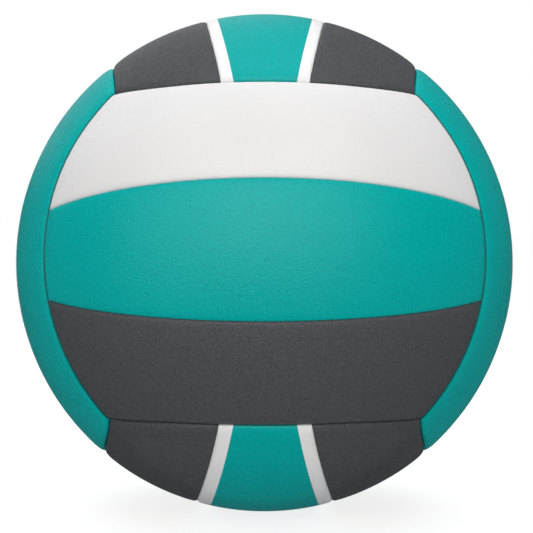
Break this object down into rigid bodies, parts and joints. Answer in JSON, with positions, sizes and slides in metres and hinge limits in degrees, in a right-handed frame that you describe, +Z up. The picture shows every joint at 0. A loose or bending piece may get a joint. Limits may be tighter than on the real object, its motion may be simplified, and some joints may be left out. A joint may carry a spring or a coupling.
{
  "type": "volleyball",
  "caption": "Indoor volleyball: padded synthetic leather panels in teal, white and charcoal, stitched over a fabric lining and an air bladder with a needle valve.",
  "frame": {"origin": "the centre of the ball", "axes": "+Z up as in the picture; the front face, with the white panel uppermost, looks along -Y; +X to the viewer's right; the valve is on the back face, on +Y"},
  "size_m": [0.21, 0.2099, 0.21],
  "materials": {
    "teal_cover": "fine-grained matt synthetic leather, teal; the middle panels of the top and bottom faces have printed white borders",
    "white_cover": "fine-grained matt synthetic leather, white",
    "charcoal_cover": "fine-grained matt synthetic leather, charcoal grey",
    "foam_pad": "soft closed-cell foam sheet",
    "seam_thread": "waxed polyester stitching thread, dark grey",
    "lining_fabric": "laminated cotton and polyester cloth",
    "bladder_rubber": "butyl rubber, satin black",
    "valve_rubber": "moulded rubber, matt black"
  },
  "bodies": {
    "root": {"front_upper_panel": "white_cover", "front_middle_panel": "teal_cover", "front_lower_panel": "charcoal_cover", "back_upper_panel": "white_cover", "back_middle_panel": "teal_cover", "back_lower_panel": "charcoal_cover", "top_left_panel": "charcoal_cover", "top_middle_panel": "teal_cover", "top_right_panel": "charcoal_cover", "bottom_left_panel": "charcoal_cover", "bottom_middle_panel": "teal_cover", "bottom_right_panel": "charcoal_cover", "left_front_panel": "teal_cover", "left_middle_panel": "charcoal_cover", "left_rear_panel": "teal_cover", "right_front_panel": "teal_cover", "right_middle_panel": "charcoal_cover", "right_rear_panel": "teal_cover", "front_upper_foam": "foam_pad", "front_middle_foam": "foam_pad", "front_lower_foam": "foam_pad", "back_upper_foam": "foam_pad", "back_middle_foam": "foam_pad", "back_lower_foam": "foam_pad", "top_left_foam": "foam_pad", "top_middle_foam": "foam_pad", "top_right_foam": "foam_pad", "bottom_left_foam": "foam_pad", "bottom_middle_foam": "foam_pad", "bottom_right_foam": "foam_pad", "left_front_foam": "foam_pad", "left_middle_foam": "foam_pad", "left_rear_foam": "foam_pad", "right_front_foam": "foam_pad", "right_middle_foam": "foam_pad", "right_rear_foam": "foam_pad", "panel_seam_thread": "seam_thread", "face_seam_thread": "seam_thread", "lining": "lining_fabric", "bladder": "bladder_rubber", "valve_housing": "valve_rubber", "valve_plug": "valve_rubber"}
  },
  "joints": []
}
